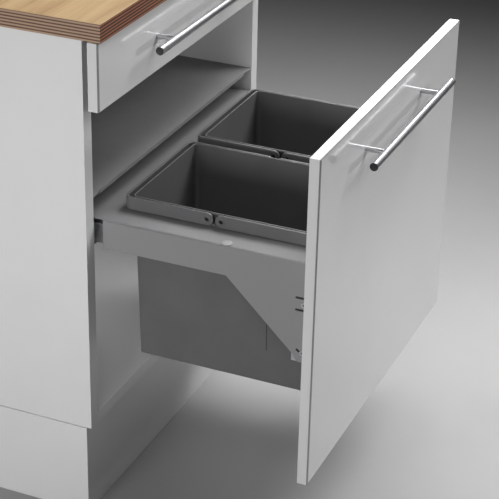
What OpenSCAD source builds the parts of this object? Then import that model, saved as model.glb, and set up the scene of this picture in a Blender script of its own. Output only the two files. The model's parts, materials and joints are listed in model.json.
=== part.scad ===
// Kitchen base cabinet with a pull-out carrier for two waste bins and a drawer above it.
// +Z up, fronts face -Y, origin on the floor at the middle of the footprint.

/* [Cabinet] */
// Width over the side panels
cab_w = 600; // [580:10:640]
// Depth of the side panels
cab_d = 530; // [525:5:600]
// Height of the side panels
cab_h = 608; // [600:2:640]
// Thickness of the side panels
side_t = 22; // [20:1:23]
// Thickness of the bottom and of the top rails
shelf_t = 18; // [16:1:19]
// Thickness of the back panel
back_t = 8; // [5:1:10]

/* [Plinth] */
// Height of the plinth
plinth_h = 153; // [100:1:180]
// Set-back of the plinth behind the side panels
plinth_back_set = 8; // [6:1:50]
// Thickness of the plinth boards
plinth_t = 16; // [15:1:19]

/* [Worktop] */
// Thickness of the worktop
top_t = 27; // [25:1:40]
// Overhang of the worktop in front of the side panels
top_over = 30; // [25:1:40]
// Overhang of the worktop at each side
top_side = 3; // [0:1:10]

/* [Fronts] */
// Thickness of the fronts
front_t = 16; // [16:1:19]
// Gap between the side panels and a closed front
front_gap = 7; // [6:1:8]
// Height of the drawer front
drawer_h = 98; // [94:1:104]
// Joint between the two fronts
joint_h = 6; // [4:1:8]
// Set-in of a front at each side
front_in = 1.5; // [1:0.5:3]

/* [Handles] */
// Diameter of a bar handle
bar_d = 12; // [10:1:14]
// Length of a bar handle
bar_l = 350; // [300:10:400]
// Distance between the two posts
post_pitch = 240; // [192:8:288]
// Diameter of a post
post_d = 8; // [7:1:9]
// Distance from the front to the middle of the bar
bar_out = 30; // [25:1:35]

/* [Pull-out carrier] */
// Distance that the carrier is pulled out
pull = 320; // [300:10:320]
// Length of the carrier
carrier_l = 437; // [430:1:440]
// Height of the top of the carrier above the underside of the side panels
carrier_up = 333; // [331:1:334]
// Height of the carrier's side skirts
skirt_h = 46; // [44:1:48]
// Space between a side panel and a skirt
skirt_gap = 10; // [9:1:11]
// Thickness of the sheet steel
sheet = 1.5; // [1.2:0.1:1.5]

/* [Bins] */
// Width of a bin over its rim
bin_w = 220; // [216:1:222]
// Length of a bin over its rim
bin_l = 296; // [290:1:298]
// Depth of a bin below its rim
bin_deep = 238; // [200:1:240]
// Space between the two bins
bin_gap = 20; // [18:1:22]
// Offset of the pair of bins to the right of the middle
bin_shift = 5; // [0:1:5]
// Wall of a bin
bin_wall = 2.2; // [2:0.1:3]
// Height of a bin's handle
grip_h = 19; // [12:1:19]
// Offset of the handle pivots behind the middle of a bin
pivot_shift = 7; // [0:1:12]
// Thickness of a bin's handle
grip_t = 3.5; // [3:0.1:3.5]

/* [Drawer] */
// Length of the drawer box
box_l = 450; // [430:10:460]
// Height of the drawer box
box_h = 66; // [60:1:68]
// Thickness of the drawer sides
box_t = 12; // [10:1:13]

/* [Hidden] */
$fn = 48;
EPS = 1;

white = "whitesmoke";
steel_grey = "silver";
zinc = "lightgrey";
dark = "dimgray";
wood = "burlywood";

// Groove between the plinth and the side panels
groove_h = 2;
groove_in = 3;

// Heights of the cabinet
carcass_z = plinth_h;
carcass_top = plinth_h + cab_h;
inside_w = cab_w - 2*side_t;
back_y = cab_d - back_t - 4;

// Fronts: the worktop stands 3 mm above the drawer front
drawer_top = carcass_top - 3;
drawer_z = drawer_top - drawer_h;
panel_top = drawer_z - joint_h;
panel_z = carcass_z - 1;
panel_bar_z = panel_top - 54;
drawer_bar_z = drawer_top - 46;
front_w = cab_w - 2*front_in;

// The carrier's front end, and the whole object's reach to the front and the back
pull_y = -(front_gap + pull);
reach = front_t + bar_out + bar_d/2 - pull_y;
front_y = (reach - cab_d)/2;

// Handles and the outer faces of the fronts
post_x = [cab_w/2 - post_pitch/2, cab_w/2 + post_pitch/2];
drawer_face = -front_gap - front_t;
panel_face = pull_y - front_t;

// Carrier
carrier_z = carcass_z + carrier_up;
skirt_x = side_t + skirt_gap;
skirt_z = carrier_z - skirt_h;
carrier_back = pull_y + carrier_l;
skirt_back = -9;
gusset_y = pull_y + 128;
gusset_foot_y = pull_y + 25;
gusset_z = carrier_z - 146;
bracket_low = carrier_z - 156;
bracket_high = carrier_z - 53;
bracket_screw_z = [carrier_z - 65, carrier_z - 140];
slot_h = 3.4;
slot_z = [bracket_screw_z[0] - 9.4, bracket_screw_z[0] + 9.4];
panel_screw_x = skirt_x + 18;
cap_x = skirt_x + 6.5;
cap_r = 8;
cap_y = pull_y + 130;

// Telescopic slides: a fixed, a middle and an inner member nest in each other
slide_w = 12.7;
slide_t = 1.2;
slide_l = 440;
ball_l = 90;
pull_slide_h = 36;
pull_slide_x = skirt_x + sheet + 1.5;
pull_slide_z = carrier_z - 26;
pull_slide_y = 6;
beam_x = pull_slide_x + slide_w;
beam_t = 2;
beam_w = 14;
drawer_slide_h = 40;
drawer_slide_x = side_t;
drawer_slide_z = drawer_z + 44;
drawer_slide_y = 4;
drawer_slide_screws = [drawer_slide_y + 30, drawer_slide_y + slide_l - 30];
hanger_y = [150, 400];
hanger_l = 30;
hanger_low = skirt_z - 37;
hanger_screw_z = skirt_z - 24;

// Bins
bin_back = pull_y + 307;
bin_front = bin_back - bin_l;
bin_x = [cab_w/2 + bin_shift - bin_gap/2 - bin_w, cab_w/2 + bin_shift + bin_gap/2];
ledge = 4;
rim_t = 1;
rim_r = 12;
rim_more = 6;
collar_in = 5;
collar_h = grip_h + 1.5;
collar_r = 8;
body_in = 7;
body_r = 4;
draft = 5;
pivot_r = 3;
pivot_z = carrier_z + rim_t + 0.3 + grip_h/2;
pivot_pitch = 22;
pivot_mid = (bin_back + bin_front)/2 + pivot_shift;
pivot_y = [pivot_mid + pivot_pitch/2, pivot_mid - pivot_pitch/2];

// Drawer box
box_x = drawer_slide_x + slide_w + 0.3;
box_z = drawer_z + 12;
box_back = box_l - front_gap;
box_floor = 6;

// Cover plate over the closed bins
cover_z = carrier_z + 37;
cover_y = 3;
cover_l = 480;
ear_l = 24;
cover_flange = 24;
cover_screw_y = [60, 430];
cover_screw_z = cover_z - 14;

// Screws
screw_r = 1.75;
hole_r = 1.85;
head_r = 4;
m4_r = 2;
m4_hole_r = 2.1;
batten_h = 100;
batten_hole_r = 3;
batten_hole_x = [100, cab_w - 100];
batten_hole_z = carcass_top - shelf_t - 50;

// X from the left side's outer face, Y from the front edge of the sides
module in_cabinet() translate([-cab_w/2, front_y, 0]) children();

// The same piece on the right-hand side
module on_right() translate([cab_w, 0, 0]) mirror([1, 0, 0]) children();

// Box between two corners
module block(low, high) translate(low) cube(high - low);

// Cylinder along X from x0 to x1
module rod_x(x0, x1, y, z, r) translate([x0, y, z]) rotate([0, 90, 0]) cylinder(h = x1 - x0, r = r);

// Cylinder along Y from y0 to y1
module rod_y(x, y0, y1, z, r) translate([x, y0, z]) rotate([-90, 0, 0]) cylinder(h = y1 - y0, r = r);

// Rectangle between two corners with round corners of radius r
module rounded(low, high, r) {
    translate([low[0], low[1] + r]) square([high[0] - low[0], high[1] - low[1] - 2*r]);
    translate([low[0] + r, low[1]]) square([high[0] - low[0] - 2*r, high[1] - low[1]]);
    for (x = [low[0] + r, high[0] - r], y = [low[1] + r, high[1] - r])
        translate([x, y]) circle(r = r);
}

// ---- Plinth ----

// Groove along the top of the plinth's left side
module plinth_groove() block([-EPS, 0, plinth_h - groove_h], [groove_in, cab_d + EPS, plinth_h + EPS]);

// Side board, mitred to the front board
module plinth_side() difference() {
    linear_extrude(plinth_h) polygon([[0, plinth_back_set], [plinth_t, plinth_back_set + plinth_t],
        [plinth_t, cab_d], [0, cab_d]]);
    plinth_groove();
}

module plinth_left() color(white) in_cabinet() plinth_side();

module plinth_right() color(white) in_cabinet() on_right() plinth_side();

module plinth_front() color(white) in_cabinet() difference() {
    linear_extrude(plinth_h) polygon([[0, plinth_back_set], [cab_w, plinth_back_set],
        [cab_w - plinth_t, plinth_back_set + plinth_t], [plinth_t, plinth_back_set + plinth_t]]);
    plinth_groove();
    on_right() plinth_groove();
}

module plinth_back() color(white) in_cabinet()
    block([plinth_t, cab_d - plinth_t, 0], [cab_w - plinth_t, cab_d, plinth_h]);

// ---- Carcass ----

// Pilot holes for the screws of the cover, the hangers and the drawer slides
module side_pilots() {
    for (y = cover_screw_y) rod_x(side_t - 15, side_t + EPS, y, cover_screw_z, hole_r);
    for (y = hanger_y) rod_x(side_t - 15, side_t + EPS, y + hanger_l/2, hanger_screw_z, hole_r);
    for (y = drawer_slide_screws) rod_x(side_t - 15, side_t + EPS, y, drawer_slide_z, hole_r);
}

module side_panel() difference() {
    block([0, 0, carcass_z], [side_t, cab_d, carcass_top]);
    side_pilots();
}

module side_left() color(white) in_cabinet() side_panel();

module side_right() color(white) in_cabinet() on_right() side_panel();

module bottom_panel() color(white) in_cabinet()
    block([side_t, 0, carcass_z], [cab_w - side_t, back_y, carcass_z + shelf_t]);

module back_panel() color(white) in_cabinet() difference() {
    block([side_t, back_y, carcass_z], [cab_w - side_t, back_y + back_t, carcass_top]);
    for (x = batten_hole_x)
        rod_y(x, back_y - EPS, back_y + back_t + EPS, batten_hole_z, batten_hole_r);
}

// Top rail whose front edge is at y
module top_rail(y) block([side_t, y, carcass_top - shelf_t], [cab_w - side_t, y + 90, carcass_top]);

module top_rail_front() color(white) in_cabinet() top_rail(2);

module top_rail_rear() color(white) in_cabinet() top_rail(back_y - 90);

// Batten behind the drawer, screwed to the wall
module wall_batten() color(white) in_cabinet() difference() {
    block([side_t, back_y - shelf_t, carcass_top - shelf_t - batten_h],
        [cab_w - side_t, back_y, carcass_top - shelf_t]);
    for (x = batten_hole_x)
        rod_y(x, back_y - shelf_t - EPS, back_y + EPS, batten_hole_z, batten_hole_r);
}

module worktop() color(wood) in_cabinet()
    block([-top_side, -top_over, carcass_top], [cab_w + top_side, cab_d, carcass_top + top_t]);

// ---- Cover plate between the bins and the drawer ----

module cover_side_flange() difference() {
    block([side_t, cover_y + 20, cover_z - cover_flange],
        [side_t + sheet, cover_y + cover_l - 20, cover_z - sheet]);
    for (y = cover_screw_y) rod_x(side_t - EPS, side_t + sheet + EPS, y, cover_screw_z, hole_r);
}

module cover_ear() linear_extrude(sheet)
    polygon([[side_t, 0], [side_t + ear_l/2, 0], [side_t + ear_l, cover_y], [side_t, cover_y]]);

module cover_plate() color(steel_grey) in_cabinet() {
    translate([0, 0, cover_z - sheet]) {
        block([side_t, cover_y, 0], [cab_w - side_t, cover_y + cover_l, sheet]);
        cover_ear();
        on_right() cover_ear();
    }
    block([side_t + ear_l, cover_y, cover_z - 6],
        [cab_w - side_t - ear_l, cover_y + sheet, cover_z - sheet]);
    cover_side_flange();
    on_right() cover_side_flange();
}

// Screw along -X into the left side panel, its head from x to x + head
module side_screw(x, y, z, head) {
    rod_x(side_t - 14, x, y, z, screw_r);
    rod_x(x, x + head, y, z, head_r);
}

module cover_screw_pair() for (y = cover_screw_y)
    side_screw(side_t + sheet, y, cover_screw_z, 2);

module cover_screws() color(zinc) in_cabinet() {
    cover_screw_pair();
    on_right() cover_screw_pair();
}

// ---- Telescopic slides ----

// C-shaped channel of half-height half, between x0 and x1, with its web at the web_x side
module channel(x0, x1, web_x, half, len) {
    block([web_x, 0, -half], [web_x + slide_t, len, half]);
    for (z = [-half, half - slide_t]) block([x0, 0, z], [x1, len, z + slide_t]);
}

// Strips of ball cage above and below a channel
module ball_strips(x0, x1, low, high, y) for (s = [-1, 1])
    block([x0, y, s > 0 ? low : -high], [x1, y + ball_l, s > 0 ? high : -low]);

module slide_fixed(h) channel(0, 9, 0, h/2, slide_l);

module slide_middle(h) {
    channel(2.5, 10.5, 2.5, h/2 - 2.7, slide_l);
    for (y = [20, slide_l - ball_l - 20]) {
        ball_strips(4.5, 7.5, h/2 - 2.7, h/2 - slide_t - 0.1, y);
        ball_strips(6, 9, h/2 - 5.6, h/2 - 2.7 - slide_t, y);
    }
}

module slide_inner(h) channel(4.7, slide_w, slide_w - slide_t, h/2 - 5.7, slide_l);

module at_pull_slide(moved) translate([pull_slide_x, pull_slide_y - moved, pull_slide_z]) children();

module pull_rail_fixed_left() color(zinc) in_cabinet() at_pull_slide(0) slide_fixed(pull_slide_h);

module pull_rail_fixed_right() color(zinc) in_cabinet() on_right()
    at_pull_slide(0) slide_fixed(pull_slide_h);

module pull_rail_middle_left() color(zinc) in_cabinet()
    at_pull_slide(pull/2) slide_middle(pull_slide_h);

module pull_rail_middle_right() color(zinc) in_cabinet() on_right()
    at_pull_slide(pull/2) slide_middle(pull_slide_h);

module pull_rail_inner_left() color(zinc) in_cabinet()
    at_pull_slide(pull) slide_inner(pull_slide_h);

module pull_rail_inner_right() color(zinc) in_cabinet() on_right()
    at_pull_slide(pull) slide_inner(pull_slide_h);

// Hangers reach under the skirt and carry the fixed slide
module hanger(y) difference() {
    union() {
        block([side_t, y, hanger_low], [side_t + 2, y + hanger_l, skirt_z - 3]);
        block([side_t, y, skirt_z - 5], [pull_slide_x + 9, y + hanger_l, skirt_z - 3]);
        block([pull_slide_x + 3, y, skirt_z - 3],
            [pull_slide_x + 9, y + hanger_l, pull_slide_z - pull_slide_h/2]);
    }
    rod_x(side_t - EPS, side_t + 2 + EPS, y + hanger_l/2, hanger_screw_z, hole_r);
}

module hanger_left() color(zinc) in_cabinet() for (y = hanger_y) hanger(y);

module hanger_right() color(zinc) in_cabinet() on_right() for (y = hanger_y) hanger(y);

module at_drawer_slide() translate([drawer_slide_x, drawer_slide_y, drawer_slide_z]) children();

module drawer_slide_fixed() difference() {
    at_drawer_slide() slide_fixed(drawer_slide_h);
    for (y = drawer_slide_screws)
        rod_x(side_t - EPS, side_t + slide_t + EPS, y, drawer_slide_z, hole_r);
}

module drawer_rail_fixed_left() color(zinc) in_cabinet() drawer_slide_fixed();

module drawer_rail_fixed_right() color(zinc) in_cabinet() on_right() drawer_slide_fixed();

module drawer_rail_middle_left() color(zinc) in_cabinet()
    at_drawer_slide() slide_middle(drawer_slide_h);

module drawer_rail_middle_right() color(zinc) in_cabinet() on_right()
    at_drawer_slide() slide_middle(drawer_slide_h);

module drawer_rail_inner_left() color(zinc) in_cabinet()
    at_drawer_slide() slide_inner(drawer_slide_h);

module drawer_rail_inner_right() color(zinc) in_cabinet() on_right()
    at_drawer_slide() slide_inner(drawer_slide_h);

module rail_screw_set() {
    for (y = hanger_y) side_screw(side_t + 2, y + hanger_l/2, hanger_screw_z, 2);
    for (y = drawer_slide_screws) side_screw(side_t + slide_t, y, drawer_slide_z, 1);
}

module rail_screws() color(zinc) in_cabinet() {
    rail_screw_set();
    on_right() rail_screw_set();
}

// ---- Bar handles ----

// Bar with chamfered ends along X, its axis at y and z
module bar(y, z) {
    x0 = cab_w/2 - bar_l/2;
    x1 = cab_w/2 + bar_l/2;
    c = 0.6;
    rod_x(x0 + c, x1 - c, y, z, bar_d/2);
    translate([x0, y, z]) rotate([0, 90, 0]) cylinder(h = c, r1 = bar_d/2 - c, r2 = bar_d/2);
    translate([x1 - c, y, z]) rotate([0, 90, 0]) cylinder(h = c, r1 = bar_d/2, r2 = bar_d/2 - c);
}

// Posts from the face at y to the bar, bored for their screws
module posts(y, z) difference() {
    for (x = post_x) rod_y(x, y - bar_out, y, z, post_d/2);
    rod_x(0, cab_w, y - bar_out, z, bar_d/2);
    for (x = post_x) rod_y(x, y - 14, y + EPS, z, m4_r + 0.05);
}

// Screws from the inside of a front, whose outer face is at y, into the posts
module post_screws(y, z) for (x = post_x) {
    rod_y(x, y - 12, y + front_t, z, m4_r);
    rod_y(x, y + front_t, y + front_t + 2.4, z, head_r);
}

module post_holes(y, z) for (x = post_x) rod_y(x, y - EPS, y + front_t + EPS, z, m4_hole_r);

// ---- Drawer ----

module drawer_front() color(white) in_cabinet() difference() {
    block([front_in, drawer_face, drawer_z], [front_in + front_w, -front_gap, drawer_top]);
    post_holes(drawer_face, drawer_bar_z);
}

module drawer_bar() color(zinc) in_cabinet() bar(drawer_face - bar_out, drawer_bar_z);

module drawer_posts() color(zinc) in_cabinet() posts(drawer_face, drawer_bar_z);

module drawer_bar_screws() color(zinc) in_cabinet() post_screws(drawer_face, drawer_bar_z);

module drawer_side() block([box_x, -front_gap, box_z], [box_x + box_t, box_back, box_z + box_h]);

module drawer_side_left() color(steel_grey) in_cabinet() drawer_side();

module drawer_side_right() color(steel_grey) in_cabinet() on_right() drawer_side();

module drawer_back() color(steel_grey) in_cabinet()
    block([box_x + box_t, box_back - box_t, box_z], [cab_w - box_x - box_t, box_back, box_z + box_h]);

module drawer_bottom() color(steel_grey) in_cabinet()
    block([box_x + box_t, -front_gap, box_z],
        [cab_w - box_x - box_t, box_back - box_t, box_z + box_floor]);

// ---- Pull-out carrier ----

// Opening for a bin whose rim starts at x
module bin_opening(x) translate([0, 0, carrier_z - sheet - EPS]) linear_extrude(sheet + 2*EPS)
    rounded([x + ledge, bin_front + ledge + rim_more],
        [x + bin_w - ledge, bin_back - ledge - rim_more], rim_r - ledge);

module carrier_top() color(steel_grey) in_cabinet() {
    difference() {
        block([skirt_x, pull_y, carrier_z - sheet], [cab_w - skirt_x, carrier_back, carrier_z]);
        for (x = bin_x) bin_opening(x);
        for (x = [cap_x, cab_w - cap_x])
            translate([x, cap_y, carrier_z - sheet - EPS]) cylinder(h = sheet + 2*EPS, r = m4_hole_r);
    }
    block([skirt_x + sheet, pull_y, skirt_z],
        [cab_w - skirt_x - sheet, pull_y + sheet, carrier_z - sheet]);
    block([beam_x + beam_w, carrier_back - sheet, carrier_z - 20],
        [cab_w - beam_x - beam_w, carrier_back, carrier_z - sheet]);
}

// Skirt with the gusset that carries the front, and slots above and below its upper screw
module carrier_side() difference() {
    translate([skirt_x, 0, 0]) rotate([90, 0, 90]) linear_extrude(sheet) polygon([
        [skirt_back, carrier_z - sheet], [skirt_back, skirt_z], [gusset_y, skirt_z],
        [gusset_foot_y, gusset_z], [gusset_foot_y - 6, bracket_low],
        [pull_y, bracket_low], [pull_y, carrier_z - sheet]]);
    for (z = bracket_screw_z) rod_x(skirt_x - EPS, skirt_x + sheet + EPS, pull_y + 11, z, m4_hole_r);
    for (z = slot_z) block([skirt_x - EPS, pull_y + 6, z - slot_h/2],
        [skirt_x + sheet + EPS, pull_y + 24, z + slot_h/2]);
}

module carrier_side_left() color(steel_grey) in_cabinet() carrier_side();

module carrier_side_right() color(steel_grey) in_cabinet() on_right() carrier_side();

// Beam under the top plate, fixed to the inner member of the slide
module carrier_beam() {
    block([beam_x, pull_y + sheet, carrier_z - 44], [beam_x + beam_t, carrier_back, carrier_z - sheet]);
    block([beam_x + beam_t, pull_y + sheet, carrier_z - sheet - beam_t],
        [beam_x + beam_w, carrier_back, carrier_z - sheet]);
}

module carrier_beam_left() color(zinc) in_cabinet() carrier_beam();

module carrier_beam_right() color(zinc) in_cabinet() on_right() carrier_beam();

// Angle between the gusset and the front
module front_bracket() difference() {
    union() {
        block([skirt_x + sheet, pull_y, bracket_low], [skirt_x + sheet + 2, pull_y + 28, bracket_high]);
        block([skirt_x + sheet, pull_y, bracket_low], [skirt_x + 30, pull_y + 2, bracket_high]);
    }
    for (z = bracket_screw_z) {
        rod_x(skirt_x, skirt_x + 5, pull_y + 11, z, m4_hole_r);
        rod_y(panel_screw_x, pull_y - EPS, pull_y + 2 + EPS, z, hole_r);
    }
}

module front_bracket_left() color(zinc) in_cabinet() front_bracket();

module front_bracket_right() color(zinc) in_cabinet() on_right() front_bracket();

// Machine screws with nuts through the gusset, and wood screws into the front
module bracket_screw_set() for (z = bracket_screw_z) {
    rod_x(skirt_x - 2.2, skirt_x, pull_y + 11, z, head_r);
    rod_x(skirt_x, skirt_x + sheet + 2, pull_y + 11, z, m4_r);
    translate([skirt_x + sheet + 2, pull_y + 11, z]) rotate([0, 90, 0]) cylinder(h = 3, r = 3.8, $fn = 6);
    rod_y(panel_screw_x, pull_y - 12, pull_y + 2, z, screw_r);
    rod_y(panel_screw_x, pull_y + 2, pull_y + 4.2, z, head_r);
}

module bracket_screws() color(zinc) in_cabinet() {
    bracket_screw_set();
    on_right() bracket_screw_set();
}

// Low round caps on the flanges, which reach a little over the skirts
module carrier_caps() color(zinc) in_cabinet() for (x = [cap_x, cab_w - cap_x]) translate([x, cap_y, 0]) {
    translate([0, 0, carrier_z - sheet]) cylinder(h = sheet, r = m4_r);
    translate([0, 0, carrier_z]) cylinder(h = 1, r = cap_r);
    translate([0, 0, carrier_z + 1]) cylinder(h = 1.2, r1 = cap_r, r2 = cap_r - 2);
}

module front_panel() color(white) in_cabinet() difference() {
    block([front_in, panel_face, panel_z], [front_in + front_w, pull_y, panel_top]);
    post_holes(panel_face, panel_bar_z);
    for (x = [panel_screw_x, cab_w - panel_screw_x], z = bracket_screw_z)
        rod_y(x, pull_y - 13, pull_y + EPS, z, hole_r);
}

module front_bar() color(zinc) in_cabinet() bar(panel_face - bar_out, panel_bar_z);

module front_posts() color(zinc) in_cabinet() posts(panel_face, panel_bar_z);

module front_bar_screws() color(zinc) in_cabinet() post_screws(panel_face, panel_bar_z);

// ---- Bins ----

// Outline of a bin at x, set in from its rim, drawn in along the length by more
module bin_outline(x, in, more, r)
    rounded([x + in, bin_front + in + more], [x + bin_w - in, bin_back - in - more], r);

// Drafted body of a bin, set in from its rim, from its floor to the top plate
module bin_core(x, in, floor, top) hull() {
    translate([0, 0, floor]) linear_extrude(0.1)
        bin_outline(x, in + draft, rim_more + 1, body_r, $fn = 32);
    translate([0, 0, top]) linear_extrude(0.1) bin_outline(x, in, rim_more, body_r, $fn = 32);
}

module bin(x) {
    floor = carrier_z - bin_deep;
    difference() {
        bin_core(x, body_in, floor, carrier_z + rim_t - 0.1);
        bin_core(x, body_in + bin_wall, floor + bin_wall, carrier_z + rim_t);
    }
    translate([0, 0, carrier_z]) linear_extrude(rim_t) difference() {
        bin_outline(x, 0, 0, rim_r);
        bin_outline(x, body_in + 0.6, rim_more, body_r);
    }
    translate([0, 0, carrier_z + rim_t]) linear_extrude(collar_h - rim_t) difference() {
        bin_outline(x, collar_in, rim_more, collar_r);
        bin_outline(x, collar_in + bin_wall, rim_more, collar_r - 2);
    }
}

module bin_left() color(dark) in_cabinet() bin(bin_x[0]);

module bin_right() color(dark) in_cabinet() bin(bin_x[1]);

// Pivot pins on both sides of the collar
module pins(x) for (y = pivot_y) {
    rod_x(x + 0.4, x + collar_in, y, pivot_z, pivot_r);
    rod_x(x + bin_w - collar_in, x + bin_w - 0.4, y, pivot_z, pivot_r);
}

module bin_left_pins() color(dark) in_cabinet() pins(bin_x[0]);

module bin_right_pins() color(dark) in_cabinet() pins(bin_x[1]);

// Half of a bin's handle, which swings on its pins at y; side is 1 for the rear half
module grip(x, y, side) difference() {
    intersection() {
        translate([0, 0, pivot_z - grip_h/2]) linear_extrude(grip_h) difference() {
            bin_outline(x, 0, 0, rim_r);
            bin_outline(x, grip_t, 0, rim_r - grip_t);
        }
        union() {
            rod_x(x - EPS, x + bin_w + EPS, y, pivot_z, grip_h/2);
            block([x - EPS, side > 0 ? y : bin_front - EPS, pivot_z - grip_h],
                [x + bin_w + EPS, side > 0 ? bin_back + EPS : y, pivot_z + grip_h]);
        }
    }
    rod_x(x - EPS, x + bin_w + EPS, y, pivot_z, pivot_r + 0.06);
}

module bin_left_grip_rear() color(dark) in_cabinet() grip(bin_x[0], pivot_y[0], 1);

module bin_left_grip_front() color(dark) in_cabinet() grip(bin_x[0], pivot_y[1], -1);

module bin_right_grip_rear() color(dark) in_cabinet() grip(bin_x[1], pivot_y[0], 1);

module bin_right_grip_front() color(dark) in_cabinet() grip(bin_x[1], pivot_y[1], -1);

plinth_left();
plinth_right();
plinth_front();
plinth_back();
side_left();
side_right();
bottom_panel();
back_panel();
top_rail_front();
top_rail_rear();
wall_batten();
worktop();
cover_plate();
cover_screws();
pull_rail_fixed_left();
pull_rail_fixed_right();
hanger_left();
hanger_right();
drawer_rail_fixed_left();
drawer_rail_fixed_right();
rail_screws();
pull_rail_middle_left();
pull_rail_middle_right();
drawer_rail_middle_left();
drawer_rail_middle_right();
drawer_front();
drawer_bar();
drawer_posts();
drawer_bar_screws();
drawer_side_left();
drawer_side_right();
drawer_back();
drawer_bottom();
drawer_rail_inner_left();
drawer_rail_inner_right();
carrier_top();
carrier_side_left();
carrier_side_right();
carrier_beam_left();
carrier_beam_right();
front_bracket_left();
front_bracket_right();
bracket_screws();
carrier_caps();
pull_rail_inner_left();
pull_rail_inner_right();
front_panel();
front_bar();
front_posts();
front_bar_screws();
bin_left();
bin_right();
bin_left_pins();
bin_right_pins();
bin_left_grip_rear();
bin_left_grip_front();
bin_right_grip_rear();
bin_right_grip_front();
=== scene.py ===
"""Looks of a kitchen base cabinet with a pull-out pair of waste bins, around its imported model.

Everything is in metres in the model's own frame: the fronts face -Y and +Z is up.
"""
import json
import math

import bmesh
import bpy
from mathutils import Matrix, Vector


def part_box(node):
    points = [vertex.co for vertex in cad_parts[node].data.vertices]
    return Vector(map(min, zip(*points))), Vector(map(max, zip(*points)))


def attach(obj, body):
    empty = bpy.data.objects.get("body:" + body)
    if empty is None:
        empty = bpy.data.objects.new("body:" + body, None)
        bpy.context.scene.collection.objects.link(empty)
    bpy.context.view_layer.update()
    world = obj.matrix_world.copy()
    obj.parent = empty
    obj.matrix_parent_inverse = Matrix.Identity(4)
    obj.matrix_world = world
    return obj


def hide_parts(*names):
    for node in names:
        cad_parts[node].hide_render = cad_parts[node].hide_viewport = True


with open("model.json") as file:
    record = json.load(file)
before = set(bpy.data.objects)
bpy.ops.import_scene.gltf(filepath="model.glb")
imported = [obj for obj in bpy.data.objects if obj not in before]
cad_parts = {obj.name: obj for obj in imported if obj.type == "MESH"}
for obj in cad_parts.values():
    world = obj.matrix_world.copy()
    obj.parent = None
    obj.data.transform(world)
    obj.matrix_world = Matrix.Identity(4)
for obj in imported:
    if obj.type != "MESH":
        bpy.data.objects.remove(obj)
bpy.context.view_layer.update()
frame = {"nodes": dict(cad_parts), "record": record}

MM = 0.001

RECORD = frame["record"]
BODY_OF = {node: body for body, nodes in RECORD["behaviour"]["bodies"].items() for node in nodes}
SLOT_OF = {part["node"]: part["material_slot"] for part in RECORD["subparts"]}

# Radius of the worked edges of the pieces that keep the model's shape, by material. The lacquered
# fronts have it only round their face, and FRONT_EDGE on their other edges.
EDGE_RADIUS = {
    "white_lacquer": 2.0 * MM,
    "white_melamine": 0.5 * MM,
    "grey_sheet": 0.5 * MM,
    "zinc": 0.3 * MM,
    "bar_steel": 0.3 * MM,
    "dark_plastic": 0.7 * MM,
    "drawer_grey": 0.6 * MM,
}
SATIN_EDGE = 0.7 * MM
FRONT_EDGE = 0.6 * MM
WORKTOP_EDGE = 0.6 * MM
SHEET_EDGE = 0.3 * MM
SHARP_ANGLE = math.radians(38)

# Points nearer than this are taken as the same place, or joined when a model's node is read
NEAR = 0.01 * MM
WELD = 0.002 * MM

# The carrier's bent sheet. Its openings lie OPENING_IN inside the bins' outlines. Its gussets run
# from a foot beside the front brackets up to the skirts, GUSSET_LENGTH behind the front.
SHEET = 1.5 * MM
BEND_RADIUS = 2.5 * MM
OPENING_IN = 4 * MM
OPENING_CORNER = 8 * MM
GUSSET_LENGTH = 128 * MM
FOOT_HEIGHT = 10 * MM
FOOT_SLOPE = 6 * MM
FOOT_IN = 3 * MM

# The bins: the rim's flange, and how far in from the handle's outside the flange, the collar and the
# walls stand. END_MORE is added to all but the flange at a bin's front and rear.
RIM_THICKNESS = 1.0 * MM
RIM_IN = 2.2 * MM
END_MORE = 6 * MM
RIM_CORNER = 12 * MM
BODY_CORNER = 4 * MM
COLLAR_IN = 5 * MM
BODY_IN = 7 * MM
BIN_WALL = 2.2 * MM
BIN_DRAFT = 5 * MM

# The painted shade of a groove low on a bin's outer wall: how far it is behind the bin's front, how
# high over the bin's foot it starts and ends, half its width, and how far it stands out from the wall
GROOVE_SHADE_BACK = 75.5 * MM
GROOVE_SHADE_FOOT = 54 * MM
GROOVE_SHADE_HEAD = 98 * MM
GROOVE_SHADE_HALF = 0.6 * MM
GROOVE_SHADE_OUT = 0.05 * MM

# The painted shade on the collar behind a handle's joint: half its length, how far it stays below the
# collar's top and above the carrier's, and how far it stands out from the collar
HINGE_SHADE_HALF = 9 * MM
HINGE_SHADE_MARGIN = 2 * MM
HINGE_SHADE_OUT = 0.06 * MM

# The worktop's layers, and the depth of the painted highlight on its top arris, over the face veneer's edge
LAYERS = 6.0
ARRIS_HIGHLIGHT_BAND = 0.9 * MM

# The brackets' screws, with painted shade in their cross recesses, and the slots beside the screws.
# SCREW_IN, SLOT_FRONT, SLOT_BACK and SLANTED_IN are measured back from the skirt's front edge. The
# painted shade behind a slot lies SHADE_IN from the skirt's outer face.
HEAD_RADIUS = 4 * MM
SCREW_IN = 11 * MM
RECESS_LONG = 1.8 * MM
RECESS_SHORT = 0.5 * MM
RECESS_OUT = 0.03 * MM
SLOT_WIDTH = 3.4 * MM
SLOT_PITCH = 18.8 * MM
SLOT_FRONT = 6 * MM
SLOT_BACK = 24 * MM
SLANTED_HALF = 3.5 * MM
SLANTED_IN = 18 * MM
SLANTED_UP = 2 * MM
SLANT = math.radians(45)
SHADE_IN = SHEET - 0.2 * MM


# ---- Material nodes ----

def new_material(name, **inputs):
    """A material, its node tree and its shader. Spaces in input names are written as _."""
    material = bpy.data.materials.new(name)
    material.use_nodes = True
    tree = material.node_tree
    shader = tree.nodes["Principled BSDF"]
    for key, value in inputs.items():
        shader.inputs[key.replace("_", " ")].default_value = value
    return material, tree, shader


def add_node(tree, kind, inputs):
    """A node whose inputs are constants or the output sockets of other nodes."""
    node = tree.nodes.new("ShaderNode" + kind)
    for key, value in inputs.items():
        if isinstance(value, bpy.types.NodeSocket):
            tree.links.new(value, node.inputs[key])
        else:
            node.inputs[key].default_value = value
    return node


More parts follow.
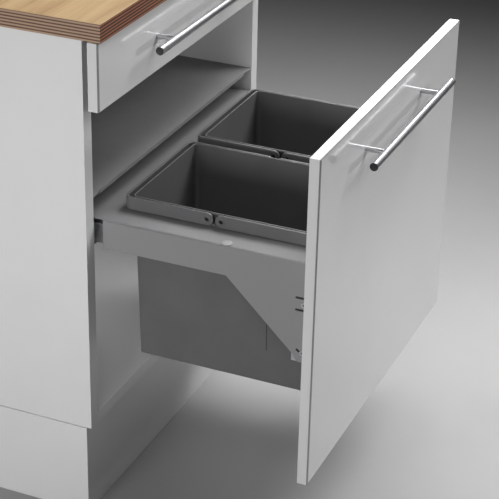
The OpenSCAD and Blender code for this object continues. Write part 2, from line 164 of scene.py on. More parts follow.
def object_point(tree, stretch=(1.0, 1.0, 1.0)):
    """Position on the piece, scaled along each axis."""
    place = add_node(tree, "TexCoord", {})
    scaled = add_node(tree, "Mapping", {"Vector": place.outputs["Object"], "Scale": stretch})
    return scaled.outputs["Vector"]


def noise(tree, scale, detail, stretch=(1.0, 1.0, 1.0)):
    """Noise with `scale` features per metre, from 0 to 1."""
    point = object_point(tree, stretch)
    node = add_node(tree, "TexNoise", {"Vector": point, "Scale": scale, "Detail": detail})
    return node.outputs["Fac"]


def ramp(tree, factor, stops):
    """A colour ramp through (position, grey or colour) stops."""
    node = add_node(tree, "ValToRGB", {"Fac": factor})
    elements = node.color_ramp.elements
    while len(elements) < len(stops):
        elements.new(0.5)
    for element, (position, colour) in zip(elements, stops):
        if isinstance(colour, float):
            colour = (colour, colour, colour)
        element.position = position
        element.color = (*colour, 1.0)
    return node.outputs["Color"]


def math_node(tree, operation, first, second=0.0):
    """The value of a maths node on constants or the output sockets of other nodes."""
    node = tree.nodes.new("ShaderNodeMath")
    node.operation = operation
    for socket, value in zip(node.inputs, (first, second)):
        if isinstance(value, bpy.types.NodeSocket):
            tree.links.new(value, socket)
        else:
            socket.default_value = value
    return node.outputs["Value"]


def bump(tree, shader, height, distance):
    """Raises the surface by up to `distance` metres where the height is 1."""
    node = add_node(tree, "Bump", {"Height": height, "Distance": distance, "Strength": 1.0})
    tree.links.new(node.outputs["Normal"], shader.inputs["Normal"])


def paint(tree, shader, colour):
    """Gives the shader its colour."""
    tree.links.new(colour, shader.inputs["Base Color"])


def roughen(tree, shader, value):
    """Gives the shader its roughness."""
    tree.links.new(value, shader.inputs["Roughness"])


# ---- Materials ----

def white_lacquer():
    """High-gloss lacquer: nearly flat, with a little orange peel and faint wipe marks."""
    material, tree, shader = new_material("white_lacquer", Coat_Weight=0.5, Coat_Roughness=0.04)
    paint(tree, shader, ramp(tree, noise(tree, 5.0, 3.0), [(0.3, 0.73), (0.7, 0.76)]))
    roughen(tree, shader, ramp(tree, noise(tree, 26.0, 5.0, (1, 1, 0.3)), [(0.3, 0.10), (0.8, 0.17)]))
    bump(tree, shader, noise(tree, 240.0, 1.0), 0.006 * MM)
    return material


def painted_arris_shade():
    """Painted shade: a darker lacquer on the fronts' rounded arrises, standing in for the dark look that
    the light gives them between the two faces they join.
    """
    material, tree, shader = new_material("painted_arris_shade", Coat_Weight=0.5, Coat_Roughness=0.04)
    paint(tree, shader, ramp(tree, noise(tree, 8.0, 3.0), [(0.3, 0.25), (0.7, 0.29)]))
    roughen(tree, shader, ramp(tree, noise(tree, 26.0, 4.0), [(0.3, 0.12), (0.8, 0.2)]))
    return material


def white_satin():
    """Satin lacquer of the side panels and the plinth."""
    material, tree, shader = new_material("white_satin")
    paint(tree, shader, ramp(tree, noise(tree, 6.0, 4.0), [(0.3, 0.765), (0.7, 0.80)]))
    roughen(tree, shader, ramp(tree, noise(tree, 40.0, 4.0), [(0.3, 0.32), (0.8, 0.42)]))
    bump(tree, shader, noise(tree, 700.0, 2.0), 0.01 * MM)
    return material


def white_melamine():
    """Melamine of the carcass's inside, with a fine pearl grain."""
    material, tree, shader = new_material("white_melamine")
    paint(tree, shader, ramp(tree, noise(tree, 9.0, 5.0), [(0.3, 0.83), (0.7, 0.86)]))
    roughen(tree, shader, ramp(tree, noise(tree, 90.0, 3.0), [(0.3, 0.38), (0.7, 0.5)]))
    bump(tree, shader, noise(tree, 900.0, 3.0), 0.03 * MM)
    return material


def drawer_grey():
    """Light grey melamine of the drawer box, with a fine grain along its boards."""
    material, tree, shader = new_material("drawer_grey")
    grain = noise(tree, 30.0, 5.0, (3, 1, 14))
    paint(tree, shader, ramp(tree, grain, [(0.3, (0.33, 0.33, 0.335)), (0.7, (0.38, 0.38, 0.385))]))
    roughen(tree, shader, ramp(tree, grain, [(0.3, 0.4), (0.7, 0.5)]))
    bump(tree, shader, noise(tree, 500.0, 3.0, (1, 0.2, 1)), 0.03 * MM)
    return material


def grey_sheet():
    """Powder coat on sheet steel: a fine leathery texture with a soft sheen."""
    material, tree, shader = new_material("grey_sheet")
    speck = noise(tree, 1500.0, 2.0)
    paint(tree, shader, ramp(tree, speck, [(0.3, (0.245, 0.246, 0.25)), (0.7, (0.285, 0.286, 0.29))]))
    roughen(tree, shader, ramp(tree, noise(tree, 60.0, 4.0), [(0.3, 0.40), (0.8, 0.5)]))
    bump(tree, shader, noise(tree, 800.0, 2.0), 0.035 * MM)
    return material


def zinc():
    """Zinc-plated steel, slightly clouded."""
    material, tree, shader = new_material("zinc", Metallic=1.0)
    cloud = noise(tree, 120.0, 5.0)
    paint(tree, shader, ramp(tree, cloud, [(0.3, (0.50, 0.51, 0.52)), (0.7, (0.64, 0.65, 0.66))]))
    roughen(tree, shader, ramp(tree, cloud, [(0.3, 0.28), (0.8, 0.42)]))
    bump(tree, shader, noise(tree, 600.0, 3.0, (1, 0.1, 1)), 0.01 * MM)
    return material


def bar_steel():
    """Polished steel with fine turning marks round the bar."""
    material, tree, shader = new_material("bar_steel", Metallic=1.0)
    marks = noise(tree, 900.0, 3.0, (1, 0.05, 0.05))
    paint(tree, shader, ramp(tree, marks, [(0.3, (0.60, 0.60, 0.62)), (0.7, (0.68, 0.68, 0.70))]))
    roughen(tree, shader, ramp(tree, marks, [(0.3, 0.27), (0.8, 0.34)]))
    bump(tree, shader, marks, 0.004 * MM)
    return material


def dark_plastic():
    """Anthracite polypropylene with a fine moulded grain."""
    material, tree, shader = new_material("dark_plastic")
    tone = noise(tree, 14.0, 4.0)
    paint(tree, shader, ramp(tree, tone, [(0.3, (0.118, 0.118, 0.121)), (0.7, (0.135, 0.135, 0.138))]))
    roughen(tree, shader, ramp(tree, noise(tree, 70.0, 3.0), [(0.3, 0.30), (0.8, 0.40)]))
    bump(tree, shader, noise(tree, 1600.0, 2.0), 0.02 * MM)
    return material


def painted_dark():
    """Near-black matt paint: the painted dark reflection on the bars' end caps, and painted shade in the
    pins' dishes, the slots, the screws' recesses, the collars' hollows and the bins' grooves.
    """
    material, tree, shader = new_material("painted_dark")
    paint(tree, shader, ramp(tree, noise(tree, 400.0, 3.0), [(0.3, 0.012), (0.7, 0.02)]))
    roughen(tree, shader, ramp(tree, noise(tree, 900.0, 2.0), [(0.3, 0.4), (0.7, 0.6)]))
    return material


def oiled_face():
    """Oiled face veneer of the worktop: straight grain along X."""
    material, tree, shader = new_material("oiled_face", Specular_IOR_Level=0.3)
    streaks = noise(tree, 22.0, 7.0, (0.14, 1.6, 1.6))
    pores = noise(tree, 190.0, 4.0, (0.05, 1.4, 1.4))
    wide = math_node(tree, "MULTIPLY", streaks, 0.7)
    narrow = math_node(tree, "MULTIPLY", pores, 0.3)
    mixed = math_node(tree, "ADD", wide, narrow)
    stops = [(0.32, (0.27, 0.165, 0.072)), (0.5, (0.375, 0.25, 0.12)), (0.68, (0.46, 0.32, 0.17))]
    paint(tree, shader, ramp(tree, mixed, stops))
    roughen(tree, shader, ramp(tree, mixed, [(0.3, 0.6), (0.7, 0.5)]))
    bump(tree, shader, pores, 0.06 * MM)
    return material


def layered_edge(name, dark, light, bands, axis_stretch, board):
    """Sawn edge of the layered board: dark glue lines between lighter layers, under a pale band that is a
    painted highlight of the top arris over the face veneer's edge.

    The bands are the places in a layer where its light part begins and ends. The board is its lower
    and upper height.
    """
    low, high = board
    material, tree, shader = new_material(name)
    point = add_node(tree, "SeparateXYZ", {"Vector": object_point(tree)})
    waver = math_node(tree, "MULTIPLY", noise(tree, 30.0, 3.0, axis_stretch), 0.7 * MM)
    height = math_node(tree, "ADD", point.outputs["Z"], waver)
    above_foot = math_node(tree, "SUBTRACT", height, low)
    layer = math_node(tree, "MULTIPLY", above_foot, LAYERS / (high - low))
    across = math_node(tree, "FRACT", layer)
    grain = noise(tree, 260.0, 4.0, axis_stretch)
    ragged = math_node(tree, "ADD", across, math_node(tree, "MULTIPLY", grain, 0.12))
    within = math_node(tree, "MULTIPLY", ragged, 0.8)
    # Painted highlight: the top of the edge takes the pale last stop, for the light caught by the rounded
    # top arris
    face = math_node(tree, "GREATER_THAN", point.outputs["Z"], high - ARRIS_HIGHLIGHT_BAND)
    shade = math_node(tree, "ADD", within, face)
    start, end = bands
    stops = [(start - 0.1, dark), (start, light), (end, light), (end + 0.1, dark), (0.93, dark),
             (1.0, (0.66, 0.45, 0.27))]
    paint(tree, shader, ramp(tree, shade, stops))
    roughen(tree, shader, ramp(tree, grain, [(0.3, 0.42), (0.7, 0.58)]))
    bump(tree, shader, grain, 0.08 * MM)
    return material


def studio_floor():
    """Plain pale floor with the faintest unevenness."""
    material, tree, shader = new_material("studio_floor", Specular_IOR_Level=0.25)
    paint(tree, shader, ramp(tree, noise(tree, 3.0, 5.0), [(0.3, 0.37), (0.7, 0.39)]))
    roughen(tree, shader, ramp(tree, noise(tree, 20.0, 3.0), [(0.3, 0.6), (0.7, 0.7)]))
    bump(tree, shader, noise(tree, 150.0, 3.0), 0.05 * MM)
    return material


MATERIALS = {
    "white_lacquer": white_lacquer(),
    "white_melamine": white_melamine(),
    "drawer_grey": drawer_grey(),
    "grey_sheet": grey_sheet(),
    "zinc": zinc(),
    "bar_steel": bar_steel(),
    "dark_plastic": dark_plastic(),
}
SATIN = white_satin()
ARRIS_SHADE = painted_arris_shade()
PAINTED_DARK = painted_dark()


# ---- Pieces ----

def add_piece(name, mesh, materials, *nodes, stands_for=True):
    """Adds a mesh with the given materials on the body of the first node; it may stand for the nodes."""
    piece = bpy.data.objects.new(name, mesh)
    bpy.context.scene.collection.objects.link(piece)
    for material in materials:
        mesh.materials.append(material)
    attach(piece, BODY_OF[nodes[0]])
    if stands_for:
        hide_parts(*nodes)
    return piece


def mesh_from(bm, name, sharp=None):
    """Turns a bmesh into a mesh with smooth shading, except over edges sharper than an angle."""
    mesh = bpy.data.meshes.new(name)
    bm.to_mesh(mesh)
    bm.free()
    for polygon in mesh.polygons:
        polygon.use_smooth = True
    if sharp:
        mesh.set_sharp_from_angle(angle=sharp)
    return mesh


def keep_flat(piece):
    """Large faces set the shading, so that flat faces look flat up to their rounded edges."""
    weights = piece.modifiers.new("flat faces", "WEIGHTED_NORMAL")
    weights.mode = "FACE_AREA"
    weights.weight = 100
    weights.keep_sharp = True


def round_edges(piece, radius, segments=3):
    """Rounds the sharp edges, keeps flat faces flat in their shading and returns the bevel."""
    bevel = piece.modifiers.new("rounded edges", "BEVEL")
    bevel.width = radius
    bevel.segments = segments
    bevel.limit_method = "ANGLE"
    bevel.angle_limit = SHARP_ANGLE
    bevel.miter_outer = "MITER_ARC"
    keep_flat(piece)
    return bevel


def node_mesh(node):
    """The model's node as a bmesh with its flat faces whole."""
    bm = bmesh.new()
    bm.from_mesh(frame["nodes"][node].data)
    bmesh.ops.remove_doubles(bm, verts=bm.verts, dist=WELD)
    bmesh.ops.dissolve_limit(bm, angle_limit=math.radians(0.5), verts=bm.verts, edges=bm.edges)
    return bm


def finish_node(node, material, radius):
    """A copy of a CAD node with worked edges."""
    mesh = mesh_from(node_mesh(node), node + "_finished")
    piece = add_piece(node + "_finished", mesh, [material], node)
    bevel = round_edges(piece, radius)
    bevel.use_clamp_overlap = "_grip_" not in node


def lies_at(edge, axis, level):
    """Whether both ends of an edge are at a level along an axis."""
    return all(abs(vertex.co[axis] - level) < NEAR for vertex in edge.verts)


def finish_front(node):
    """A lacquered front whose rounded arris round its face is painted darker, as painted shade."""
    low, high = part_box(node)
    bm = node_mesh(node)
    weight = bm.edges.layers.float.new("bevel_weight_edge")
    outline = [(0, low.x), (0, high.x), (2, low.z), (2, high.z)]
    for edge in bm.edges:
        on_face = lies_at(edge, 1, low.y)
        on_side = any(lies_at(edge, axis, level) for axis, level in outline)
        edge[weight] = 1.0 if on_face and on_side else 0.0
    mesh = mesh_from(bm, node + "_finished")
    piece = add_piece(node + "_finished", mesh, [MATERIALS["white_lacquer"], ARRIS_SHADE], node)
    arris = piece.modifiers.new("rounded arris", "BEVEL")
    arris.width = EDGE_RADIUS["white_lacquer"]
    arris.segments = 4
    arris.limit_method = "WEIGHT"
    arris.use_clamp_overlap = False
    # The arris takes the second material, the painted shade
    arris.material = 1
    round_edges(piece, FRONT_EDGE)


def rounded_ring(bm, low, high, radius, z, steps=6):
    """A loop of vertices at height z round a rectangle with round corners, anticlockwise."""
    corners = [(high.x - radius, low.y + radius, -90), (high.x - radius, high.y - radius, 0),
               (low.x + radius, high.y - radius, 90), (low.x + radius, low.y + radius, 180)]
    ring = []
    for x, y, start in corners:
        for step in range(steps + 1):
            angle = math.radians(start + 90 * step / steps)
            ring.append(bm.verts.new((x + radius * math.cos(angle), y + radius * math.sin(angle), z)))
    return ring


def round_ring(bm, centre, radius, across, up, count):
    """A loop of vertices round a circle in the plane of the directions across and up."""
    ring = []
    for step in range(count):
        angle = 2 * math.pi * step / count
        offset = across * (radius * math.cos(angle)) + up * (radius * math.sin(angle))
        ring.append(bm.verts.new(centre + offset))
    return ring


def skin(bm, rings, materials=None):
    """Faces between closed loops of vertices, with a material number for each band."""
    for band, (lower, upper) in enumerate(zip(rings, rings[1:])):
        for here in range(len(lower)):
            after = (here + 1) % len(lower)
            face = bm.faces.new((lower[here], lower[after], upper[after], upper[here]))
            face.material_index = materials[band] if materials else 0


def turned(bm, start, axis, stations, count, closed=False):
    """A surface turned round an axis through (distance, radius, material number) stations.

    It has count sides. Its ends are filled, or joined to each other if closed.
    """
    across = axis.orthogonal().normalized()
    up = axis.cross(across)
    rings = [round_ring(bm, start + axis * distance, radius, across, up, count)
             for distance, radius, number in stations]
    numbers = [number for distance, radius, number in stations]
    if closed:
        rings.append(rings[0])
    skin(bm, rings, numbers)
    if not closed:
        bm.faces.new(rings[0]).material_index = numbers[0]
        bm.faces.new(rings[-1]).material_index = numbers[-1]


def fill(bm, *loops):
    """Flat faces inside the first loop and outside the others."""
    edges = []
    for loop in loops:
        for here, vertex in enumerate(loop):
            following = loop[(here + 1) % len(loop)]
            edges.append(bm.edges.new((vertex, following)))
    bmesh.ops.triangle_fill(bm, edges=edges, use_beauty=True, use_dissolve=False)


# ---- Carrier ----

def skirt_outline():
    """(y, z) corners of a skirt below its bend, with the gusset behind the front."""
    low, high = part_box("carrier_side_left")
    skirt_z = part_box("carrier_top")[0].z
    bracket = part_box("front_bracket_left")
    foot_y = bracket[1].y - FOOT_IN
    foot_z = bracket[0].z + FOOT_HEIGHT
    bend_z = high.z + SHEET - BEND_RADIUS
    return [(low.y, bend_z), (low.y, low.z), (foot_y - FOOT_SLOPE, low.z), (foot_y, foot_z),
            (low.y + GUSSET_LENGTH, skirt_z), (high.y, skirt_z), (high.y, bend_z)]


def slot_outline(y0, y1, z0, z1, steps=5):
    """(y, z) points of a slot with round ends."""
    radius = (z1 - z0) / 2
    middle_z = (z0 + z1) / 2
    points = []
    for middle_y, start in ((y1 - radius, -90), (y0 + radius, 90)):
        for step in range(steps + 1):
            angle = math.radians(start + 180 * step / steps)
            points.append((middle_y + radius * math.cos(angle), middle_z + radius * math.sin(angle)))
    return points


def skirt_slots():
    """Outlines of the slots above and below the bracket's upper screw, and of one behind the lower."""
    low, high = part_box("bracket_screws")
    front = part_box("carrier_side_left")[0].y
    half = SLOT_WIDTH / 2
    found = []
    for side in (-SLOT_PITCH / 2, SLOT_PITCH / 2):
        z = high.z - HEAD_RADIUS + side
        found.append(slot_outline(front + SLOT_FRONT, front + SLOT_BACK, z - half, z + half))
    middle_y = front + SLANTED_IN
    middle_z = low.z + HEAD_RADIUS + SLANTED_UP
    along, across = math.cos(SLANT), math.sin(SLANT)
    found.append([(middle_y + y * along - z * across, middle_z + y * across + z * along)
                  for y, z in slot_outline(-SLANTED_HALF, SLANTED_HALF, -half, half)])
    return found


def slot_shades():
    """Painted shade: dark sheets behind the slots, near the inner face of the sheet, where the slots are in
    shade.
    """
    low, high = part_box("carrier_top")
    bm = bmesh.new()
    for x in (low.x + SHADE_IN, high.x - SHADE_IN):
        for outline in skirt_slots():
            bm.faces.new([bm.verts.new((x, y, z)) for y, z in outline])
    mesh = mesh_from(bm, "slot_shades")
    add_piece("slot_shades", mesh, [PAINTED_DARK], "carrier_side_left", stands_for=False)


def add_bend(bm, start, end, inward, steps=6):
    """A quarter bend from a plate's edge, start to end, down to vertical on the outer side."""
    rows = []
    for step in range(steps + 1):
        angle = math.radians(90 * step / steps)
        out = BEND_RADIUS * math.sin(angle)
        down = BEND_RADIUS * (1 - math.cos(angle))
        shift = -inward * out - Vector((0, 0, down))
        rows.append([bm.verts.new(start + shift), bm.verts.new(end + shift)])
    for upper, lower in zip(rows, rows[1:]):
        bm.faces.new((upper[0], upper[1], lower[1], lower[0]))


def carrier_shell():
    """The carrier's top plate with its openings, its front flange and both skirts as one sheet."""
    low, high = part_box("carrier_top")
    skirt_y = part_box("carrier_side_left")[1].y
    bm = bmesh.new()
    top = high.z
    x0, x1 = low.x + BEND_RADIUS, high.x - BEND_RADIUS
    y0, y1 = low.y + BEND_RADIUS, high.y - BEND_RADIUS
    outline = [(x0, y0), (x1, y0), (x1, skirt_y), (high.x, skirt_y), (high.x, y1),
               (x1, high.y), (x0, high.y), (low.x, y1), (low.x, skirt_y), (x0, skirt_y)]
    outer = [bm.verts.new((x, y, top)) for x, y in outline]
    ledge = Vector((OPENING_IN, OPENING_IN + END_MORE, 0))
    openings = []
    for node in ("bin_left", "bin_right"):
        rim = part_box(node)
        openings.append(rounded_ring(bm, rim[0] + ledge, rim[1] - ledge, OPENING_CORNER, top))
    fill(bm, outer, *openings)
    for x, inward in ((x0, Vector((1, 0, 0))), (x1, Vector((-1, 0, 0)))):
        side = x - inward.x * BEND_RADIUS
        add_bend(bm, Vector((x, y0, top)), Vector((x, skirt_y, top)), inward)
        loops = [skirt_outline()] + skirt_slots()
        fill(bm, *[[bm.verts.new((side, y, z)) for y, z in loop] for loop in loops])
    add_bend(bm, Vector((x0, y0, top)), Vector((x1, y0, top)), Vector((0, 1, 0)))
    flange = [(x0, top - BEND_RADIUS), (x1, top - BEND_RADIUS), (x1, low.z), (x0, low.z)]
    bm.faces.new([bm.verts.new((x, low.y, z)) for x, z in flange])
    bmesh.ops.remove_doubles(bm, verts=bm.verts, dist=NEAR)
    bmesh.ops.recalc_face_normals(bm, faces=bm.faces)
    highest = max(bm.faces, key=lambda face: face.calc_center_median().z)
    if highest.normal.z < 0:
        bmesh.ops.reverse_faces(bm, faces=bm.faces)
    mesh = mesh_from(bm, "carrier_shell")
    piece = add_piece("carrier_shell", mesh, [MATERIALS["grey_sheet"]],
                      "carrier_top", "carrier_side_left", "carrier_side_right")
    sheet = piece.modifiers.new("sheet", "SOLIDIFY")
    sheet.thickness = SHEET
    sheet.offset = -1
    sheet.use_even_offset = True
    round_edges(piece, SHEET_EDGE, 2)


def cross_recess_shades():
    """Painted shade: dark crosses on the outer heads of the bracket's screws, where their cross recesses
    are in shade.
    """
    low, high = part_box("bracket_screws")
    middle_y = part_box("carrier_side_left")[0].y + SCREW_IN
    bm = bmesh.new()
    for x, outward in ((low.x, -RECESS_OUT), (high.x, RECESS_OUT)):
        for middle_z in (low.z + HEAD_RADIUS, high.z - HEAD_RADIUS):
            for across, up in ((RECESS_SHORT, RECESS_LONG), (RECESS_LONG, RECESS_SHORT)):
                corners = [(-across, -up), (across, -up), (across, up), (-across, up)]
                places = [(x + outward, middle_y + y, middle_z + z) for y, z in corners]
                bm.faces.new([bm.verts.new(place) for place in places])
    mesh = mesh_from(bm, "cross_recess_shades")
    add_piece("cross_recess_shades", mesh, [PAINTED_DARK], "bracket_screws", stands_for=False)


def round_caps():
    """The low domed caps on the carrier's top, each with an undercut edge."""
    low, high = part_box("carrier_caps")
    sheet_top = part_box("carrier_top")[1].z
    radius = (high.y - low.y) / 2
    height = high.z - sheet_top
    undercut = [(0.0, 5.0 * MM, 0), (0.3 * MM, 5.5 * MM, 0), (0.45 * MM, radius - 0.3 * MM, 0)]
    dome = [(0.7 * MM, radius, 0), (1.1 * MM, radius - 0.1 * MM, 0),
            (height - 0.5 * MM, radius - 1.2 * MM, 0), (height - 0.15 * MM, radius - 3 * MM, 0),
            (height, radius - 6 * MM, 0)]
    bm = bmesh.new()
    for x in (low.x + radius, high.x - radius):
        foot = Vector((x, (low.y + high.y) / 2, sheet_top))
        turned(bm, foot, Vector((0, 0, 1)), undercut + dome, 48)
    bmesh.ops.recalc_face_normals(bm, faces=bm.faces)
    mesh = mesh_from(bm, "round_caps", SHARP_ANGLE)
    piece = add_piece("round_caps", mesh, [MATERIALS["drawer_grey"]], "carrier_caps")
    keep_flat(piece)


# ---- Bins ----

def bin_profile(low, high):
    """(inset, height, corner radius) from the foot up the outside, over the collar and down inside."""
    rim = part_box("carrier_top")[1].z
    floor, top = low.z, high.z
    foot = BODY_IN + BIN_DRAFT
    inner = foot + BIN_WALL
    outside = [(foot + 24 * MM, floor + 1.2 * MM, 5 * MM), (foot + 16 * MM, floor + 1.2 * MM, 5 * MM),
               (foot + 15 * MM, floor, 5 * MM), (foot + 1.6 * MM, floor, BODY_CORNER),
               (foot + 0.45 * MM, floor + 0.45 * MM, BODY_CORNER), (foot, floor + 1.6 * MM, BODY_CORNER),
               (BODY_IN, rim - 1.0 * MM, BODY_CORNER), (BODY_IN - 0.6 * MM, rim, BODY_CORNER)]
    collar_inner = COLLAR_IN + BIN_WALL
    collar = [(COLLAR_IN - 0.8 * MM, rim + RIM_THICKNESS, 8.8 * MM), (COLLAR_IN, rim + 1.8 * MM, 8 * MM),
              (COLLAR_IN, top - 0.5 * MM, 8 * MM), (COLLAR_IN + 0.15 * MM, top - 0.15 * MM, 7.8 * MM),
              (COLLAR_IN + 0.5 * MM, top, 7.5 * MM), (collar_inner - 0.5 * MM, top, 6.4 * MM),
              (collar_inner - 0.15 * MM, top - 0.15 * MM, 6.1 * MM), (collar_inner, top - 0.5 * MM, 6 * MM)]
    inside = [(inner, floor + 8 * MM, 6 * MM), (inner + 1.7 * MM, floor + 4 * MM, 6 * MM),
              (inner + 6 * MM, floor + BIN_WALL, 5 * MM)]
    return outside, collar + inside


def flange_profile():
    """(inset, height, corner radius) round the edge of a bin's flange on the carrier."""
    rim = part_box("carrier_top")[1].z
    corner = RIM_CORNER - RIM_IN
    return [(RIM_IN + 0.4 * MM, rim, corner - 0.4 * MM), (RIM_IN, rim + 0.3 * MM, corner),
            (RIM_IN, rim + 0.7 * MM, corner),
            (RIM_IN + 0.4 * MM, rim + RIM_THICKNESS, corner - 0.4 * MM)]


def bin_shell(node):
    """A moulded bin: drafted walls, a flange that hangs on the carrier and a collar above it."""
    low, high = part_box(node)
    outside, inside = bin_profile(low, high)
    bm = bmesh.new()
    rings = []
    for more, profile in ((END_MORE, outside), (0.0, flange_profile()), (END_MORE, inside)):
        for inset, z, radius in profile:
            edge = Vector((inset, inset + more, 0))
            rings.append(rounded_ring(bm, low + edge, high - edge, radius, z, 8))
    skin(bm, rings)
    bm.faces.new(reversed(rings[0]))
    bm.faces.new(rings[-1])
    mesh = mesh_from(bm, node + "_shell")
    piece = add_piece(node + "_shell", mesh, [MATERIALS["dark_plastic"]], node)
    keep_flat(piece)


def wall_groove_shade(node):
    """Painted shade of a short groove low on the outer wall of a bin: a dark strip along the drafted wall.
    """
    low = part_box(node)[0]
    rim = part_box("carrier_top")[1].z
    middle = low.y + GROOVE_SHADE_BACK
    bm = bmesh.new()
    corners = []
    for z, across in ((low.z + GROOVE_SHADE_FOOT, GROOVE_SHADE_HALF), (low.z + GROOVE_SHADE_HEAD, -GROOVE_SHADE_HALF)):
        x = low.x + BODY_IN + BIN_DRAFT * (rim - z) / (rim - low.z) - GROOVE_SHADE_OUT
        corners.append(bm.verts.new((x, middle - across, z)))
        corners.append(bm.verts.new((x, middle + across, z)))
    bm.faces.new(corners)
    mesh = mesh_from(bm, node + "_groove_shade")
    add_piece(node + "_groove_shade", mesh, [PAINTED_DARK], node, stands_for=False)


def pin_set(node):
    """The handle's pivot pins, each with a dished end painted near-black as painted shade in the dish."""
    low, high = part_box(node)
    radius = (high.z - low.z) / 2
    z = (low.z + high.z) / 2
    pin = [(4.6 * MM, radius, 0), (0.25 * MM, radius, 0), (0.0, radius - 0.2 * MM, 0)]
    # Material 1 is the painted shade in the dish
    dish = [(0.0, radius - 0.4 * MM, 1), (0.4 * MM, radius - 0.6 * MM, 1),
            (2.4 * MM, radius - 0.9 * MM, 1)]
    bm = bmesh.new()
    for y in (low.y + radius, high.y - radius):
        turned(bm, Vector((low.x, y, z)), Vector((1, 0, 0)), pin + dish, 24)
        turned(bm, Vector((high.x, y, z)), Vector((-1, 0, 0)), pin + dish, 24)
    bmesh.ops.recalc_face_normals(bm, faces=bm.faces)
    mesh = mesh_from(bm, node + "_dished", SHARP_ANGLE)
    piece = add_piece(node + "_dished", mesh, [MATERIALS["dark_plastic"], PAINTED_DARK], node)
    keep_flat(piece)


def hinge_rings(node, y, z, radius):
    """Low raised rings round the pins' holes, on both outer faces of a handle half."""
    low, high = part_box(node)
    stations = [(0.3 * MM, radius + 0.3 * MM, 0), (-0.35 * MM, radius + 0.3 * MM, 0),
                (-0.6 * MM, radius + 0.8 * MM, 0), (-0.6 * MM, radius + 1.5 * MM, 0),
                (-0.3 * MM, radius + 2.1 * MM, 0), (0.3 * MM, radius + 2.5 * MM, 0)]
    bm = bmesh.new()
    turned(bm, Vector((low.x, y, z)), Vector((1, 0, 0)), stations, 32, True)
    turned(bm, Vector((high.x, y, z)), Vector((-1, 0, 0)), stations, 32, True)
    bmesh.ops.recalc_face_normals(bm, faces=bm.faces)
    mesh = mesh_from(bm, node + "_rings")
    add_piece(node + "_rings", mesh, [MATERIALS["dark_plastic"]], node, stands_for=False)


def hinge_shade_patch(bin_name):
    """Painted shade: dark patches on the collar's outer sides, seen between the two halves of the handle.
    """
    low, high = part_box(bin_name)
    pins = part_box(bin_name + "_pins")
    middle = (pins[0].y + pins[1].y) / 2
    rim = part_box("carrier_top")[1].z
    inward = COLLAR_IN - HINGE_SHADE_OUT
    outline = slot_outline(middle - HINGE_SHADE_HALF, middle + HINGE_SHADE_HALF,
                           rim + HINGE_SHADE_MARGIN, high.z - HINGE_SHADE_MARGIN)
    bm = bmesh.new()
    for x in (low.x + inward, high.x - inward):
        bm.faces.new([bm.verts.new((x, y, z)) for y, z in outline])
    mesh = mesh_from(bm, bin_name + "_shade_patches")
    add_piece(bin_name + "_shade_patches", mesh, [PAINTED_DARK], bin_name, stands_for=False)


def bin_rings(bin_name):
    """Rings on both halves of a bin's handle."""
    low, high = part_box(bin_name + "_pins")
    radius = (high.z - low.z) / 2
    z = (low.z + high.z) / 2
    hinge_rings(bin_name + "_grip_front", low.y + radius, z, radius)
    hinge_rings(bin_name + "_grip_rear", high.y - radius, z, radius)


# ---- Worktop ----

def worktop_board():
    """The layered worktop: face veneer above and below, sawn layers round its edge."""
    low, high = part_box("worktop")
    board = (low.z, high.z)
    front = layered_edge("layered_front", (0.060, 0.015, 0.006), (0.46, 0.20, 0.105), (0.40, 0.56),
                         (0.1, 1, 3), board)
    side = layered_edge("layered_side", (0.105, 0.052, 0.03), (0.44, 0.29, 0.195), (0.22, 0.55),
                        (1, 0.1, 3), board)
    bm = node_mesh("worktop")
    for face in bm.faces:
        normal = face.normal
        if abs(normal.y) > 0.5:
            face.material_index = 1
        elif abs(normal.x) > 0.5:
            face.material_index = 2
    mesh = mesh_from(bm, "worktop_board")
    piece = add_piece("worktop_board", mesh, [oiled_face(), front, side], "worktop")
    round_edges(piece, WORKTOP_EDGE)


# ---- Bars ----

def capped_bar(node):
    """A bar handle with a dished cap and a fine groove at each end; the cap is painted near-black, a
    painted dark reflection.
    """
    low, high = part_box(node)
    radius = (high.z - low.z) / 2
    # Material 1 on the cap is the painted dark reflection
    cap = [(0.5 * MM, radius - 3.2 * MM, 1), (0.25 * MM, radius - 1.8 * MM, 1),
           (0.0, radius - 1.0 * MM, 1), (0.1 * MM, radius - 0.4 * MM, 1),
           (0.5 * MM, radius - 0.05 * MM, 1), (1.3 * MM, radius - 0.05 * MM, 1)]
    groove = [(1.35 * MM, radius - 0.35 * MM, 0), (1.5 * MM, radius - 0.3 * MM, 0),
              (1.7 * MM, radius, 0)]
    centre = (low + high) / 2
    half = (high.x - low.x) / 2
    bm = bmesh.new()
    for side in (-1, 1):
        end = centre + Vector((side * half, 0, 0))
        turned(bm, end, Vector((-side, 0, 0)), cap + groove + [(half, radius, 0)], 64)
    bmesh.ops.recalc_face_normals(bm, faces=bm.faces)
    mesh = mesh_from(bm, node + "_capped", SHARP_ANGLE)
    piece = add_piece(node + "_capped", mesh, [MATERIALS["bar_steel"], PAINTED_DARK], node)
    keep_flat(piece)


# ---- Set ----

def add_stage():
    """A plain pale floor."""
    bm = bmesh.new()
    bmesh.ops.create_grid(bm, x_segments=4, y_segments=4, size=8)
    floor = bpy.data.objects.new("floor", mesh_from(bm, "floor"))
    bpy.context.scene.collection.objects.link(floor)
    floor.data.materials.append(studio_floor())


def add_area_light(name, at, target, size, power, spread=180):
    """A soft rectangular light (width, height) facing a target point; spread is in degrees."""
    lamp = bpy.data.lights.new(name, "AREA")
    lamp.shape = "RECTANGLE"
    lamp.size, lamp.size_y = size
    lamp.energy = power
    lamp.spread = math.radians(spread)
    light = bpy.data.objects.new(name, lamp)
    bpy.context.scene.collection.objects.link(light)
    light.location = at
    direction = Vector(target) - Vector(at)
    light.rotation_euler = direction.to_track_quat("-Z", "Y").to_euler()
    return light


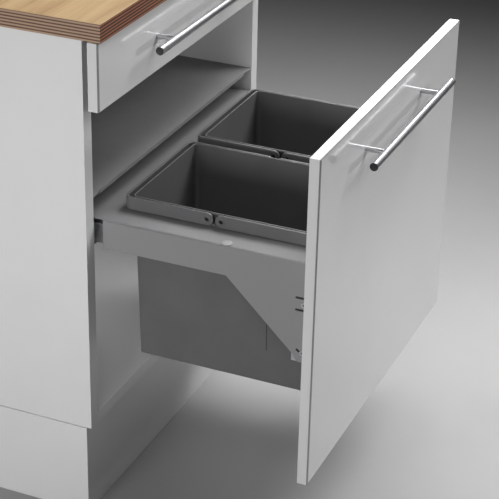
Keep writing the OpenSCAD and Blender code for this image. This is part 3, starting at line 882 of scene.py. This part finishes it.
def add_lights():
    """Soft panels round the cabinet, and two hidden ones in it for the light from the pale room.

    The front right panel is low and narrow for the bar's shadow.
    """
    middle = (0.0, -0.1, 0.5)
    add_area_light("front_right", (1.1, -3.2, 1.1), (-0.14, -0.3, 0.84), (0.5, 0.2), 0.70, 34)
    add_area_light("left", (-2.4, 0.15, 0.68), (-0.3, 0.1, 0.5), (0.9, 0.7), 5.5, 80)
    add_area_light("top_right", (1.45, -0.5, 2.75), middle, (1.9, 1.4), 19.0, 84)
    add_area_light("top_back", (0.2, 1.4, 2.7), middle, (1.6, 1.2), 10.5, 90)
    add_area_light("left_high", (-2.0, -0.6, 2.4), middle, (0.8, 0.8), 1.4, 80)
    add_area_light("right_front", (1.6, -2.0, 2.4), middle, (1.2, 1.0), 7.5, 90)
    add_area_light("right", (3.2, 0.3, 1.8), middle, (1.5, 0.8), 2.4, 50)
    add_area_light("floor_pool", (1.3, -1.2, 1.6), (0.3, -0.8, 0.0), (0.5, 0.5), 1.5, 44)
    inside = add_area_light("inside", (0.0, 0.2, 0.44), (0.0, 0.15, 0.1), (0.4, 0.3), 0.24)
    above_cover = add_area_light("above_cover", (-0.22, 0.1, 0.6), (0.3, 0.1, 0.64), (0.35, 0.05),
                                 0.07, 90)
    for light in (inside, above_cover):
        light.visible_camera = False
    world = bpy.data.worlds.new("studio")
    world.use_nodes = True
    background = world.node_tree.nodes["Background"]
    background.inputs["Color"].default_value = (0.9, 0.95, 1.0, 1.0)
    background.inputs["Strength"].default_value = 0.01
    bpy.context.scene.world = world


def add_camera():
    """A long lens from the front left, turned from +Y towards +X by yaw, tipped down and rolled."""
    yaw, pitch, roll = math.radians(67.175), math.radians(-27.042), math.radians(1.302)
    data = bpy.data.cameras.new("camera")
    data.sensor_width = 36.0
    data.lens = 123.1
    camera = bpy.data.objects.new("camera", data)
    bpy.context.scene.collection.objects.link(camera)
    turn = (Matrix.Rotation(-yaw, 4, "Z") @ Matrix.Rotation(math.pi / 2 + pitch, 4, "X")
            @ Matrix.Rotation(roll, 4, "Z"))
    camera.matrix_world = Matrix.Translation((-2.1704, -1.1098, 1.5415)) @ turn
    bpy.context.scene.camera = camera


# ---- Build ----

SATIN_NODES = {"side_left", "side_right", "plinth_left", "plinth_right", "plinth_front"}
FRONT_NODES = {"drawer_front", "front_panel"}
SHAPED_NODES = {"carrier_caps", "carrier_top", "carrier_side_left", "carrier_side_right", "worktop",
                "drawer_bar", "front_bar", "bin_left", "bin_right", "bin_left_pins", "bin_right_pins"}

for name in sorted(set(frame["nodes"]) - SHAPED_NODES):
    if name in SATIN_NODES:
        finish_node(name, SATIN, SATIN_EDGE)
    elif name in FRONT_NODES:
        finish_front(name)
    else:
        finish_node(name, MATERIALS[SLOT_OF[name]], EDGE_RADIUS[SLOT_OF[name]])
carrier_shell()
slot_shades()
cross_recess_shades()
round_caps()
worktop_board()
for name in ("drawer_bar", "front_bar"):
    capped_bar(name)
for name in ("bin_left", "bin_right"):
    bin_shell(name)
    pin_set(name + "_pins")
    bin_rings(name)
    hinge_shade_patch(name)
wall_groove_shade("bin_left")

add_stage()
add_lights()
add_camera()
bpy.context.scene.view_settings.view_transform = "Standard"
